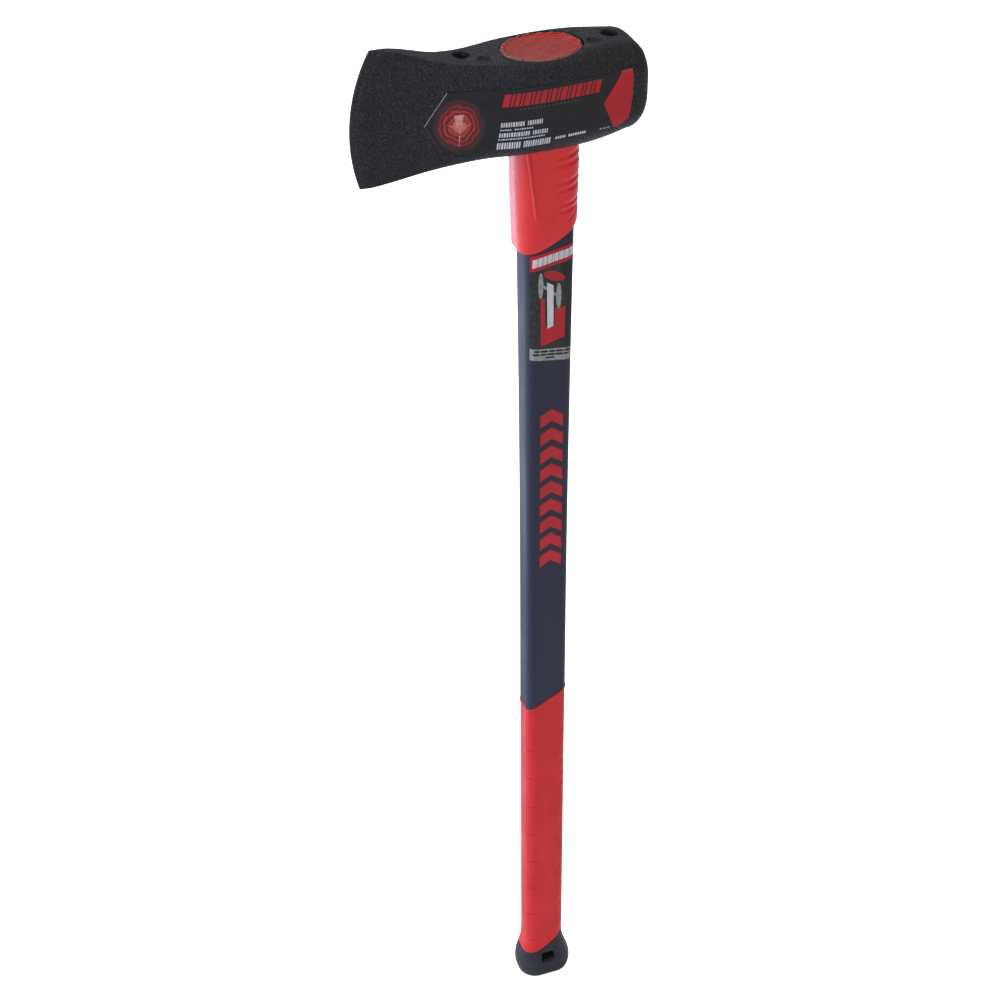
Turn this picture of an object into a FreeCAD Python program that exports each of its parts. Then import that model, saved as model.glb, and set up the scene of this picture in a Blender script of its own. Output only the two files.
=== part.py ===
"""Splitting maul: forged wedge head on a jacketed fibreglass handle.

+Z runs up the handle axis, -X points to the cutting edge, +X to the poll.
The origin is on the handle axis, in the flat bottom of the end cap.
All lengths are in millimetres.
"""
import FreeCAD, Part
import math
import os

os.makedirs("parts", exist_ok=True)

# ---- driving dimensions ---------------------------------------------------
OVERALL = 914.0            # end cap bottom to the top corner of the bit
HEAD_TOP = OVERALL - 16.5  # top of the head beside the eye
HEAD_LOW = HEAD_TOP - 68.5 # underside of the head beside the eye
POLL_X = 67.0              # flat striking face
POLL_ROUND = 16.0          # rounding between the poll face and the body
BIT_RADIUS = 125.5         # the convex cutting edge, seen from the side
BIT_X = -139.3             # foremost point of the cutting edge
BIT_BELOW_TOP = 45.7       # that point's depth below the head's top
BIT_SWEEP = math.radians(40)  # half of the arc that shapes the edge
BIT_BEVEL = (0.8, 2.6, 5.0)   # ground bevel: half land, depth and width on each cheek

# Sections of the head across X: x, half thickness, height of the top above
# HEAD_TOP, height of the underside above HEAD_LOW, top and low corner radius.
HEAD_SECTIONS = [
    (-150.0, 2.4, 17.6, -14.2, 1.2, 1.2),
    (-123.0, 3.4, 16.2, -12.6, 1.5, 1.5),
    (-107.0, 5.2, 14.0, -9.8, 2.0, 2.0),
    (-93.0, 7.9, 9.6, -6.6, 2.0, 2.8),
    (-80.0, 10.9, 5.2, -4.0, 2.5, 4.0),
    (-68.0, 14.2, 2.7, -2.2, 3.0, 6.0),
    (-56.0, 17.6, 1.4, -0.7, 3.5, 8.0),
    (-43.0, 21.9, 0.8, 0.2, 4.0, 11.0),
    (-30.0, 26.2, 0.4, 0.2, 4.5, 14.0),
    (-15.0, 28.9, 0.4, 0.0, 5.5, 17.0),
    (0.0, 30.2, 0.8, 0.0, 7.0, 19.0),
    (15.0, 30.8, 1.4, 0.3, 10.0, 20.0),
    (28.0, 31.0, 1.9, 1.6, 14.0, 20.5),
    (40.0, 31.0, 1.7, 3.6, 18.0, 21.0),
    (POLL_X - POLL_ROUND, 30.6, 0.7, 6.2, 19.0, 21.5),
]
POLL_INSET = 14.0          # how far the sides and the top draw in over that rounding
POLL_UNDERCUT = 17.5       # how far the underside draws in
POLL_TIGHTEN = 0.6         # how fast the corner radii shrink there
POLL_STEPS = 4             # sections round the poll's end

EYE_TOP_X = -3.2           # the eye leans a little to the bit at the top
EYE_LOW_X = -1.0
EYE_TOP = (29.2, 24.0)     # half length and half width of the eye's mouth
EYE_LOW = (21.5, 15.5)
SLEEVE_TOP = (27.0, 21.8)  # red sleeve inside the eye
SLEEVE_LOW = (20.7, 14.7)
POCKET_TOP = (25.1, 19.8)  # pocket in the sleeve that the infill is poured in
POCKET_LOW = (19.6, 13.4)
POCKET_DEPTH = 49.0
RIM_PROUD = 0.6            # sleeve rim above the head's top
FILL_SUNK = 0.7            # infill below the rim
BEAD_PROUD = 0.8           # adhesive bead above the head's top

PIT_R = 6.3                # round pits in the top of the head
PIT_DEPTH = 9.0
PIT_X = (-58.5, 47.5)
PIT_Y = 4.0                # pits and marks sit a little off the middle
MARK_R = 5.5               # shallow stamped rounds
MARK_DEPTH = 0.8
MARK_X = (-45.5, 32.5)
MARK_Y = -6.0

CORE = (24.0, 16.0, 5.0)   # fibreglass rod: width, depth, corner radius
CORE_LOW = 38.0
CORE_TOP = HEAD_TOP - 13.0
PIN_R = 3.0
PIN_LENGTH = 33.0
PIN_Z = HEAD_TOP - 29.0
PLATE = (3.0, 12.0, 36.0)  # anchor plate: thickness, width, height

NECK = (29.0, 20.0, 5.0)   # jacket where the grip is moulded over it
SHAFT_LOW = 300.0
JACKET_TOP = 775.0
# Sections of the jacket: height, width, depth, corner radius.
SHAFT_SECTIONS = [
    (SHAFT_LOW, 34.0, 25.0, 6.5),
    (480.0, 34.0, 25.0, 6.5),
    (600.0, 35.0, 25.8, 6.8),
    (700.0, 36.6, 26.9, 7.2),
    (JACKET_TOP, 38.0, 27.8, 7.5),
]

# Sections of the collar below the head: height, width, depth, corner radius.
COLLAR_SECTIONS = [
    (742.0, 43.4, 33.0, 11.5),
    (756.0, 44.4, 34.0, 12.3),
    (775.0, 45.8, 35.6, 13.5),
    (800.0, 47.2, 37.2, 14.5),
    (HEAD_LOW + 4.0, 47.8, 37.8, 15.0),
]
COLLAR_SHIFT = -1.2        # the collar sits a little towards the bit

# Slanted edges between the mouldings: heights at the bit side, on the axis
# and at the poll side.
EDGE_REACH = 22.0
COLLAR_EDGE = (749.0, 755.5, 772.0)
GRIP_EDGE = (317.0, 329.5, 341.0)
CAP_EDGE = (29.0, 36.0, 54.0)

GRIP = (34.3, 25.3, 8.0)
CAP_ROUND = 2.5            # rounding of the knob's bottom edge
CAP_SHIFT = 0.8            # the knob sits a little towards the poll

# Sections of the end cap: height, width, depth, corner radius.
CAP_SECTIONS = [
    (0.0, 44.4, 33.0, 14.5),
    (6.0, 47.8, 37.0, 16.5),
    (13.0, 48.8, 38.6, 17.5),
    (20.0, 46.6, 36.8, 16.5),
    (29.0, 40.8, 31.4, 13.0),
    (40.0, 36.0, 27.0, 10.0),
    (60.0, 34.3, 25.3, 8.0),
]
SLOT_X = (-5.2, 5.8)       # lanyard slot through the end cap
SLOT_Z = (20.0, 29.0)
SLOT_ROUND = 2.0

FILM = 0.25                # thickness of the printed labels
# Outline of the cheek label: x, height above HEAD_LOW. It tilts a little and has a chevron end.
HEAD_LABEL = [(-90.0, 28.5), (-79.5, 8.0), (40.0, 16.5), (47.5, 23.0), (51.0, 38.0),
              (51.0, 57.5), (-74.6, 52.0)]
SHAFT_LABEL_X = (-15.8, 15.6)
SHAFT_LABEL_LOW = (660.0, 655.0)   # at the bit side and at the poll side
SHAFT_LABEL_TOP = (746.5, 752.0)
MOTIF_X = (-10.0, 11.5)
MOTIF_Z = (467.0, 618.0)
MOTIF_FILM = 0.12


CLEAR = 100.0              # reach of cutting tools past the solids


# ---- helpers ----------------------------------------------------------------
def vec(x, y, z):
    return FreeCAD.Vector(x, y, z)


def rounded_wire(place, u0, u1, v0, v1, radii):
    """Rounded rectangle; radii are those of the v0 side and of the v1 side."""
    low, high = radii
    k = 1.0 - math.sqrt(0.5)
    corners = [  # corner, signs towards the inside, radius
        (u1, v0, -1, 1, low),
        (u1, v1, -1, -1, high),
        (u0, v1, 1, -1, high),
        (u0, v0, 1, 1, low),
    ]
    arcs = []
    for index, (u, v, su, sv, r) in enumerate(corners):
        along_u = place(u + su * r, v)
        along_v = place(u, v + sv * r)
        middle = place(u + su * k * r, v + sv * k * r)
        ends = (along_u, along_v) if index % 2 == 0 else (along_v, along_u)
        arcs.append((ends[0], middle, ends[1]))
    edges = []
    for index, (start, middle, end) in enumerate(arcs):
        edges.append(Part.Arc(start, middle, end).toShape())
        following = arcs[(index + 1) % len(arcs)][0]
        edges.append(Part.LineSegment(end, following).toShape())
    return Part.Wire(edges)


def level_wire(z, width, depth, radius, grow=0.0, shift=0.0):
    """Rounded rectangle in the level plane at height z."""
    half_w = width / 2 + grow
    half_d = depth / 2 + grow
    r = radius + grow
    return rounded_wire(lambda u, v: vec(u + shift, v, z), -half_w, half_w, -half_d, half_d, (r, r))


def level_loft(sections, grow=0.0, shifts=None):
    shifts = shifts or [0.0] * len(sections)
    wires = [level_wire(*section, grow=grow, shift=x) for section, x in zip(sections, shifts)]
    return Part.makeLoft(wires, True, False)


def level_bar(size, low, top):
    wire = level_wire(low, *size)
    return Part.Face(wire).extrude(vec(0, 0, top - low))


def slanted_block(edge, above):
    """Everything above (or below) a curved, slanted moulding edge."""
    reach = 60.0
    span = OVERALL
    start = vec(-EDGE_REACH, -reach, edge[0])
    middle = vec(0, -reach, edge[1])
    end = vec(EDGE_REACH, -reach, edge[2])
    far = edge[1] + (span if above else -span)
    points = [end, vec(reach, -reach, edge[2]), vec(reach, -reach, far),
              vec(-reach, -reach, far), vec(-reach, -reach, edge[0]), start]
    edges = [Part.Arc(start, middle, end).toShape()]
    for a, b in zip(points, points[1:]):
        edges.append(Part.LineSegment(a, b).toShape())
    return Part.Face(Part.Wire(edges)).extrude(vec(0, 2 * reach, 0))


def outline_prism(points, y_from, y_to):
    """Prism along Y over an outline given as (x, z) points."""
    corners = [vec(x, y_from, z) for x, z in points]
    wire = Part.makePolygon(corners + corners[:1])
    return Part.Face(wire).extrude(vec(0, y_to - y_from, 0))


def single(shape):
    """The one solid of a boolean result, with its seams joined."""
    clean = shape.removeSplitter()
    solids = sorted(clean.Solids, key=lambda solid: solid.Volume)
    return solids[-1]


# ---- head ------------------------------------------------------------------------
def head_wire(section, grow=0.0):
    x, half, top, low, top_r, low_r = section
    return rounded_wire(lambda u, v: vec(x, u, v), -half - grow, half + grow,
                        HEAD_LOW + low, HEAD_TOP + top, (low_r, top_r))


def poll_sections():
    """The last sections shrink along a quarter circle to the striking face."""
    x0, half, top, low, top_r, low_r = HEAD_SECTIONS[-1]
    sections = []
    for step in range(1, POLL_STEPS + 1):
        turn = math.radians(90.0 * step / POLL_STEPS)
        share = 1.0 - math.cos(turn)
        inset = POLL_INSET * share
        tighten = inset * POLL_TIGHTEN
        sections.append((x0 + POLL_ROUND * math.sin(turn), half - inset, top - inset,
                         low + POLL_UNDERCUT * share, top_r - tighten, low_r - tighten))
    return sections


def bit_front():
    """Everything ahead of the convex cutting edge."""
    x = BIT_X + BIT_RADIUS * (1.0 - math.cos(BIT_SWEEP))
    z = HEAD_TOP - BIT_BELOW_TOP
    rise = BIT_RADIUS * math.sin(BIT_SWEEP)
    top = vec(x, -CLEAR, z + rise)
    low = vec(x, -CLEAR, z - rise)
    edges = [Part.Arc(top, vec(BIT_X, -CLEAR, z), low).toShape()]
    points = [low, vec(BIT_X - CLEAR, -CLEAR, z - rise), vec(BIT_X - CLEAR, -CLEAR, z + rise), top]
    for a, b in zip(points, points[1:]):
        edges.append(Part.LineSegment(a, b).toShape())
    return Part.Face(Part.Wire(edges)).extrude(vec(0, 2 * CLEAR, 0))


def head_body(grow=0.0):
    """The forging before its eye and pits are made."""
    sections = HEAD_SECTIONS + poll_sections()
    body = Part.makeLoft([head_wire(s, grow) for s in sections], True, False)
    return single(body.cut(bit_front()))


def edge_bevel(head):
    """Grinds both cheeks along the cutting edge, as a shallow cone about the edge's own centre."""
    centre = vec(BIT_X + BIT_RADIUS, 0, HEAD_TOP - BIT_BELOW_TOP)
    land, depth, width = BIT_BEVEL
    slope = depth / width
    outer = BIT_RADIUS + 1.0
    reach = 12.0
    inner = outer - (reach - land + slope) / slope
    for side in (1, -1):
        corners = [(outer, land - slope), (outer, reach), (inner, reach)]
        points = [vec(centre.x - rho, side * y, centre.z) for rho, y in corners]
        wire = Part.makePolygon(points + points[:1])
        ring = Part.Face(wire).revolve(centre, vec(0, 1, 0), 360)
        head = head.cut(ring)
    return single(head)


def eye_plug(low, top, z_low, z_high):
    """Tapered oval along the eye, between two heights; the taper goes on past its ends."""
    ovals = []
    for z in (z_low, z_high):
        share = (z - HEAD_LOW) / (HEAD_TOP - HEAD_LOW)
        x, a, b = (p + (q - p) * share for p, q in zip((EYE_LOW_X, *low), (EYE_TOP_X, *top)))
        ovals.append(Part.Wire([Part.Ellipse(vec(x, 0, z), a, b).toShape()]))
    return Part.makeLoft(ovals, True, True)


def maul_head(body):
    head = edge_bevel(body)
    head = head.cut(eye_plug(EYE_LOW, EYE_TOP, HEAD_LOW - CLEAR / 5, HEAD_TOP + CLEAR / 5))
    for x in PIT_X:
        head = head.cut(Part.makeCylinder(PIT_R, CLEAR, vec(x, PIT_Y, HEAD_TOP + 1.5 - PIT_DEPTH)))
    for x in MARK_X:
        head = head.cut(Part.makeCylinder(MARK_R, CLEAR, vec(x, MARK_Y, HEAD_TOP + 1.2 - MARK_DEPTH)))
    return single(head)


# ---- what the eye holds --------------------------------------------------------------
def fibreglass_core():
    return level_bar(CORE, CORE_LOW, CORE_TOP)


def anchor_plate(side):
    """Round-ended steel plate against one narrow face of the core."""
    thick, width, height = PLATE
    x = side * CORE[0] / 2
    if side < 0:
        x -= thick
    r = width / 2
    straight = height / 2 - r
    plate = Part.makeBox(thick, width, 2 * straight, vec(x, -r, PIN_Z - straight))
    for z in (PIN_Z - straight, PIN_Z + straight):
        plate = plate.fuse(Part.makeCylinder(r, thick, vec(x, 0, z), vec(1, 0, 0)))
    return single(plate)


def anchor_pin():
    return Part.makeCylinder(PIN_R, PIN_LENGTH, vec(-PIN_LENGTH / 2, 0, PIN_Z), vec(1, 0, 0))


def pocket():
    return eye_plug(POCKET_LOW, POCKET_TOP, HEAD_TOP - POCKET_DEPTH, HEAD_TOP + CLEAR / 5)


def eye_fill():
    return eye_plug(POCKET_LOW, POCKET_TOP, HEAD_TOP - POCKET_DEPTH, HEAD_TOP + RIM_PROUD - FILL_SUNK)


def overstrike_collar(body):
    """Collar under the head, with the sleeve that goes on up through the eye."""
    collar = level_loft(COLLAR_SECTIONS, shifts=[COLLAR_SHIFT] * len(COLLAR_SECTIONS))
    collar = collar.common(slanted_block(COLLAR_EDGE, True)).cut(body)
    sleeve = eye_plug(SLEEVE_LOW, SLEEVE_TOP, HEAD_LOW - CLEAR / 10, HEAD_TOP + RIM_PROUD)
    return single(collar.fuse(sleeve).cut(pocket()))


def epoxy_bond(collar):
    plug = eye_plug(EYE_LOW, EYE_TOP, HEAD_LOW - CLEAR / 20, HEAD_TOP + BEAD_PROUD)
    plug = plug.cut(eye_plug(SLEEVE_LOW, SLEEVE_TOP, HEAD_LOW - CLEAR / 20, HEAD_TOP + CLEAR))
    return single(plug.cut(collar))


# ---- handle ----------------------------------------------------------------------------
def neck():
    return level_bar(NECK, CORE_LOW, GRIP_EDGE[2] + CLEAR / 10)


def shaft_jacket():
    shaft = level_loft(SHAFT_SECTIONS).common(slanted_block(GRIP_EDGE, True))
    return single(shaft.fuse(neck()))


def handle_end():
    """Outer shape of the grip and the end cap together."""
    top = CAP_SECTIONS[-1][0]
    shifts = [CAP_SHIFT * (1.0 - section[0] / top) for section in CAP_SECTIONS]
    flare = level_loft(CAP_SECTIONS, shifts=shifts)
    bar = level_bar(GRIP, CAP_SECTIONS[-1][0], GRIP_EDGE[2] + CLEAR / 10)
    return flare.fuse(bar)


def grip_sleeve(outer):
    grip = outer.common(slanted_block(CAP_EDGE, True)).common(slanted_block(GRIP_EDGE, False))
    return single(grip)


def end_cap(outer):
    cap = single(outer.common(slanted_block(CAP_EDGE, False)))
    bottom = [edge for edge in cap.Edges if edge.BoundBox.ZMax < CAP_ROUND / 2]
    cap = cap.makeFillet(CAP_ROUND, bottom)
    x0, x1 = SLOT_X
    z0, z1 = SLOT_Z
    slot = rounded_wire(lambda u, v: vec(u, -CLEAR, v), x0, x1, z0, z1, (SLOT_ROUND, SLOT_ROUND))
    return single(cap.cut(Part.Face(slot).extrude(vec(0, 2 * CLEAR, 0))))


# ---- printed films ------------------------------------------------------------------------
def head_label(body):
    """Film that follows the cheek, cut to a chevron at the bit end."""
    outline = [(x, HEAD_LOW + z) for x, z in HEAD_LABEL]
    film = head_body(FILM).common(outline_prism(outline, -CLEAR, -1.0))
    return single(film.cut(body))


def shaft_film(outline, thick, jacket):
    skin = level_loft(SHAFT_SECTIONS, grow=thick)
    film = skin.common(outline_prism(outline, -CLEAR, -SHAFT_SECTIONS[0][2] / 2 + 4.0))
    return single(film.cut(jacket))


def shaft_label(jacket):
    x0, x1 = SHAFT_LABEL_X
    outline = [(x0, SHAFT_LABEL_LOW[0]), (x1, SHAFT_LABEL_LOW[1]),
               (x1, SHAFT_LABEL_TOP[1]), (x0, SHAFT_LABEL_TOP[0])]
    return shaft_film(outline, FILM, jacket)


def shaft_motif(jacket):
    x0, x1 = MOTIF_X
    z0, z1 = MOTIF_Z
    return shaft_film([(x0, z0), (x1, z0), (x1, z1), (x0, z1)], MOTIF_FILM, jacket)


# ---- assembly -------------------------------------------------------------------------------
body = head_body()
core = fibreglass_core()
pin = anchor_pin()
core = core.cut(pin)
plates = {"anchor_plate_bit": anchor_plate(-1).cut(pin), "anchor_plate_poll": anchor_plate(1).cut(pin)}
jacket = shaft_jacket()
collar = overstrike_collar(body).cut(fibreglass_core()).cut(jacket)
handle = handle_end()
grip = grip_sleeve(handle).cut(neck())
cap = end_cap(handle).cut(neck())
fill = eye_fill().cut(fibreglass_core()).cut(pin)
for plate in plates.values():
    fill = fill.cut(plate)

nodes = {
    "maul_head": maul_head(body),
    "epoxy_bond": epoxy_bond(collar),
    "overstrike_collar": collar,
    "eye_fill": fill,
    "fibreglass_core": core,
    "anchor_pin": pin,
    **plates,
    "shaft_jacket": jacket.cut(fibreglass_core()),
    "grip_sleeve": grip,
    "end_cap": cap,
    "head_label": head_label(body),
    "shaft_label": shaft_label(jacket),
    "shaft_motif": shaft_motif(jacket),
}
for name, shape in nodes.items():
    solid = single(shape)
    solid.exportStep(os.path.join("parts", name + ".step"))
    box = solid.BoundBox
    print(f"{name:20s} {solid.Volume / 1000:9.2f} cm3  valid {solid.isValid()}  "
          f"x {box.XMin:7.1f} {box.XMax:7.1f}  y {box.YMin:6.1f} {box.YMax:6.1f}  "
          f"z {box.ZMin:6.1f} {box.ZMax:6.1f}")
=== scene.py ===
# %% [markdown]
# A splitting maul: a forged wedge head on a jacketed fibreglass handle.
# The frame below holds every part at its real size and place, in metres, with +Z up the handle,
# -X at the cutting edge and +X at the poll. Here each visible part is modelled again with the
# surface it has on the real tool, and everything gets its finish.

# %% Load the frame
import math

import bmesh
import bpy
from mathutils import Matrix, Vector, noise


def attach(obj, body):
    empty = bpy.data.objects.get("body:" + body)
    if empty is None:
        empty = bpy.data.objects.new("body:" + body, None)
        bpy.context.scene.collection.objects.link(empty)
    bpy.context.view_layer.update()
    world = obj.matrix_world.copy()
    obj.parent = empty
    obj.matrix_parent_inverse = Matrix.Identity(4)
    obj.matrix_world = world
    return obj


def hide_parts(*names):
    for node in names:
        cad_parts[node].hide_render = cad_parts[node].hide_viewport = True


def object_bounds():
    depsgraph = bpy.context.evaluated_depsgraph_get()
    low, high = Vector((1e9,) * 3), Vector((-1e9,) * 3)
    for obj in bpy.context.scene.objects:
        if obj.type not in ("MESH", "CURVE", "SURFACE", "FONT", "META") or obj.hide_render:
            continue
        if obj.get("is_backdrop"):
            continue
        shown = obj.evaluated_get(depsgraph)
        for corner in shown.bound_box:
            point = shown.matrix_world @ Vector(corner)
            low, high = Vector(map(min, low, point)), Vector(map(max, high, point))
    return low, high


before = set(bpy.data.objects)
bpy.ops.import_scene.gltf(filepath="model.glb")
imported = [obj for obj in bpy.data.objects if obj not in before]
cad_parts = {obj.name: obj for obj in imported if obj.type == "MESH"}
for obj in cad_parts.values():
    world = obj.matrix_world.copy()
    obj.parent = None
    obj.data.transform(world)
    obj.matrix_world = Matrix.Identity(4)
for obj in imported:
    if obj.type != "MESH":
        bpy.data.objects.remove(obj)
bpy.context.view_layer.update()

MM = 0.001
HEAD_TOP = 897.5            # top of the head beside the eye
HEAD_LOW = HEAD_TOP - 68.5  # underside of the head beside the eye

# %% [markdown]
# The camera comes first, so that every later step can be judged through it. It stands at the bit
# side, well above the head, and looks down the handle with a long lens, so the tool hardly tapers.

# %% Camera
CAMERA_AZIMUTH = math.radians(21.04)
CAMERA_AWAY = 1.3103
CAMERA_HEIGHT = 1.4686
CAMERA_YAW = math.radians(19.57)
CAMERA_DOWN = math.radians(35.80)
CAMERA_ROLL = math.radians(-0.55)

camera_data = bpy.data.cameras.new("camera")
camera_data.lens = 75.17
camera_data.sensor_width = 36.0
camera_data.clip_start = 0.05
camera = bpy.data.objects.new("camera", camera_data)
bpy.context.collection.objects.link(camera)
camera.matrix_world = (
    Matrix.Translation((-math.sin(CAMERA_AZIMUTH) * CAMERA_AWAY,
                        -math.cos(CAMERA_AZIMUTH) * CAMERA_AWAY, CAMERA_HEIGHT))
    @ Matrix.Rotation(-CAMERA_YAW, 4, "Z")
    @ Matrix.Rotation(math.pi / 2 - CAMERA_DOWN, 4, "X")
    @ Matrix.Rotation(CAMERA_ROLL, 4, "Z"))
bpy.context.scene.camera = camera

# %% [markdown]
# Every moulded or forged part of this tool is a stack of rounded rectangles that change slowly
# along one axis. Such a part could be sculpted, or extruded and scaled step by step, but a scaled
# ring also scales its corners. Here each ring is a plane with its corners bevelled at their own
# radius, and neighbouring rings are bridged, so corners stay round and the mesh stays even.

# %% Start and finish a piece
def start_piece(name):
    """A new, empty mesh in edit mode, with nothing else selected."""
    bpy.ops.object.select_all(action="DESELECT")
    piece = bpy.data.objects.new(name, bpy.data.meshes.new(name))
    bpy.context.collection.objects.link(piece)
    bpy.context.view_layer.objects.active = piece
    piece.select_set(True)
    bpy.ops.object.mode_set(mode="EDIT")
    bmesh.from_edit_mesh(piece.data).verts.layers.int.new("ring")
    bpy.ops.mesh.select_mode(type="VERT")
    return piece


def end_piece(piece):
    """Turns the faces outwards and leaves edit mode."""
    bpy.ops.mesh.select_all(action="SELECT")
    bpy.ops.mesh.normals_make_consistent(inside=False)
    bpy.ops.object.mode_set(mode="OBJECT")
    print(piece.name, "has", len(piece.data.polygons), "faces")
    return piece


def only(piece):
    """Selects one object and nothing else."""
    bpy.ops.object.select_all(action="DESELECT")
    bpy.context.view_layer.objects.active = piece
    piece.select_set(True)


def modify(piece, kind, **settings):
    """Adds a modifier and applies it at once."""
    only(piece)
    modifier = piece.modifiers.new(kind.lower(), kind)
    for name, value in settings.items():
        setattr(modifier, name, value)
    bpy.ops.object.modifier_apply(modifier=modifier.name)


def smooth(piece, angle=32):
    only(piece)
    bpy.ops.object.shade_smooth_by_angle(angle=math.radians(angle))


def cut(piece, cutter):
    """Takes the cutter's volume out of the piece."""
    modify(piece, "BOOLEAN", operation="DIFFERENCE", object=cutter, solver="EXACT")
    bpy.data.objects.remove(cutter)


def fetch(piece):
    return bmesh.from_edit_mesh(piece.data)


def choose(piece, wanted):
    """Selects the vertices that a test accepts, with the edges and faces between them."""
    bpy.ops.mesh.select_all(action="DESELECT")
    mesh = fetch(piece)
    for vert in mesh.verts:
        vert.select = wanted(vert)
    mesh.select_flush(True)
    bmesh.update_edit_mesh(piece.data)


# %% Rings and bridges
def is_side(edge, across):
    """True for an edge that lies along one of the ring's two straight directions."""
    run = edge.verts[1].co - edge.verts[0].co
    return abs(run[across]) < 1e-7


def rounded_ring(piece, number, centre, size, radii, axis="Z", corner=6, cuts=(5, 5)):
    """A rounded rectangle of edges across Z or X, in mm. Radii: the low and the high corners."""
    place = Vector(centre) * MM
    turn = (0, math.pi / 2, 0) if axis == "X" else (0, 0, 0)
    bpy.ops.mesh.select_all(action="DESELECT")
    bpy.ops.mesh.primitive_plane_add(size=1, location=place, rotation=turn)
    stretch = (1, size[0] * MM, size[1] * MM) if axis == "X" else (size[0] * MM, size[1] * MM, 1)
    bpy.ops.transform.resize(value=stretch, center_override=place)
    u, v = (1, 2) if axis == "X" else (0, 1)
    ring = fetch(piece).verts.layers.int["ring"]
    for high, radius in ((False, radii[0]), (True, radii[1])):
        middle = place[v]
        choose(piece, lambda vert: vert[ring] == 0 and (vert.co[v] > middle) == high
               and abs(abs(vert.co[u] - place[u]) - size[0] * MM / 2) < 1e-7
               and abs(abs(vert.co[v] - middle) - size[1] * MM / 2) < 1e-7)
        bpy.ops.mesh.bevel(offset=radius * MM, segments=corner, affect="VERTICES")
        ring = fetch(piece).verts.layers.int["ring"]
    choose(piece, lambda vert: vert[ring] == 0)
    bpy.ops.mesh.delete(type="ONLY_FACE")
    for across, count in ((v, cuts[0]), (u, cuts[1])):
        mesh = fetch(piece)
        ring = mesh.verts.layers.int["ring"]
        for vert in mesh.verts:
            vert.select = False
        for edge in mesh.edges:
            edge.select = False
        for edge in mesh.edges:
            fresh = edge.verts[0][ring] == 0 and edge.verts[1][ring] == 0
            if fresh and is_side(edge, across) and edge.calc_length() > 1e-7:
                edge.select_set(True)
        bmesh.update_edit_mesh(piece.data)
        bpy.ops.mesh.subdivide(number_cuts=count)
    number_ring(piece, number)


def oval_ring(piece, number, centre, half, count):
    """An ellipse of edges across Z, in mm; half is its half length and half width."""
    place = Vector(centre) * MM
    bpy.ops.mesh.select_all(action="DESELECT")
    bpy.ops.mesh.primitive_circle_add(vertices=count, radius=1, location=place)
    bpy.ops.transform.resize(value=(half[0] * MM, half[1] * MM, 1), center_override=place)
    number_ring(piece, number)


def number_ring(piece, number):
    """Numbers the vertices that have no ring number yet."""
    mesh = fetch(piece)
    ring = mesh.verts.layers.int["ring"]
    for vert in mesh.verts:
        if vert[ring] == 0:
            vert[ring] = number
    bmesh.update_edit_mesh(piece.data)


def choose_rings(piece, *numbers):
    ring = fetch(piece).verts.layers.int["ring"]
    choose(piece, lambda vert: vert[ring] in numbers)


def bridge_rings(piece, last, first=1):
    """Joins each ring to the next one with a band of faces."""
    for number in range(first, last):
        choose_rings(piece, number, number + 1)
        bpy.ops.mesh.bridge_edge_loops()


def close_ring(piece, number):
    choose_rings(piece, number)
    bpy.ops.mesh.edge_face_add()


def close_stack(piece, last):
    """Bridges all rings of a stack, closes both its ends and leaves edit mode."""
    bridge_rings(piece, last)
    close_ring(piece, 1)
    close_ring(piece, last)
    return end_piece(piece)


# %% [markdown]
# A section table gives a part's size only at a few stations. A smooth curve through its rows gives
# the size anywhere between, as a loft would, and straight slanted borders between two mouldings are
# made by raising each vertex by how far along X it is.

# %% Sections between stations
def row_at(table, at):
    """The row of a section table at any place, on a smooth curve through the table's rows."""
    last = len(table) - 1
    k = max(0, min(last - 1, sum(1 for row in table if row[0] <= at) - 1))

    def slope(i, column):
        low, high = max(0, i - 1), min(last, i + 1)
        return (table[high][column] - table[low][column]) / (table[high][0] - table[low][0])

    span = table[k + 1][0] - table[k][0]
    t = max(0.0, min(1.0, (at - table[k][0]) / span))
    made = [at]
    for column in range(1, len(table[0])):
        a, b = table[k][column], table[k + 1][column]
        made.append((2 * t**3 - 3 * t**2 + 1) * a + (3 * t**2 - 2 * t**3) * b
                    + (t**3 - 2 * t**2 + t) * span * slope(k, column)
                    + (t**3 - t**2) * span * slope(k + 1, column))
    return made


def steps(start, stop, count):
    return [start + (stop - start) * k / (count - 1) for k in range(count)]


def ease(t):
    t = max(0.0, min(1.0, t))
    return t * t * (3 - 2 * t)


EDGE_REACH = 22.0


def slanted(edge, x):
    """Height of a border, in mm, on the arc through its heights at the bit side, axis and poll."""
    low, middle, high = edge
    t = x / EDGE_REACH
    return middle + (high - low) / 2 * t + ((high + low) / 2 - middle) * t * t


def tilt_border(piece, edge, fade, size_at):
    """Slants the end ring of a piece along a border. The slant fades out over the rings behind it,
    and each vertex then keeps to the section of its new height."""
    for vert in piece.data.vertices:
        x, height = vert.co.x / MM, vert.co.z / MM
        weight = 1 - ease(abs(height - edge[1]) / fade)
        if weight > 0:
            new = height + weight * (slanted(edge, x) - edge[1])
            was, now = size_at(height), size_at(new)
            vert.co.z = new * MM
            vert.co.x = ((x - was[2]) * now[0] / was[0] + now[2]) * MM
            vert.co.y *= now[1] / was[1]


# %% [markdown]
# Shared effects for the finishes are node groups with named sockets: a fine grain for cast paint and
# rubber, patches of a slightly different shade, dust that settles on upward faces, and wear along
# edges. Each group gives out only values, and every finish places it with its own numbers. They
# could also be painted by hand, but a pattern in object space needs no unwrapping and has no seams.

# %% Node helpers
def shade(red, green, blue):
    """A colour given in display values from 0 to 255, as the linear numbers that nodes expect."""
    def linear(value):
        value /= 255
        return value / 12.92 if value <= 0.04045 else ((value + 0.055) / 1.055) ** 2.4
    return (linear(red), linear(green), linear(blue), 1.0)


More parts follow.
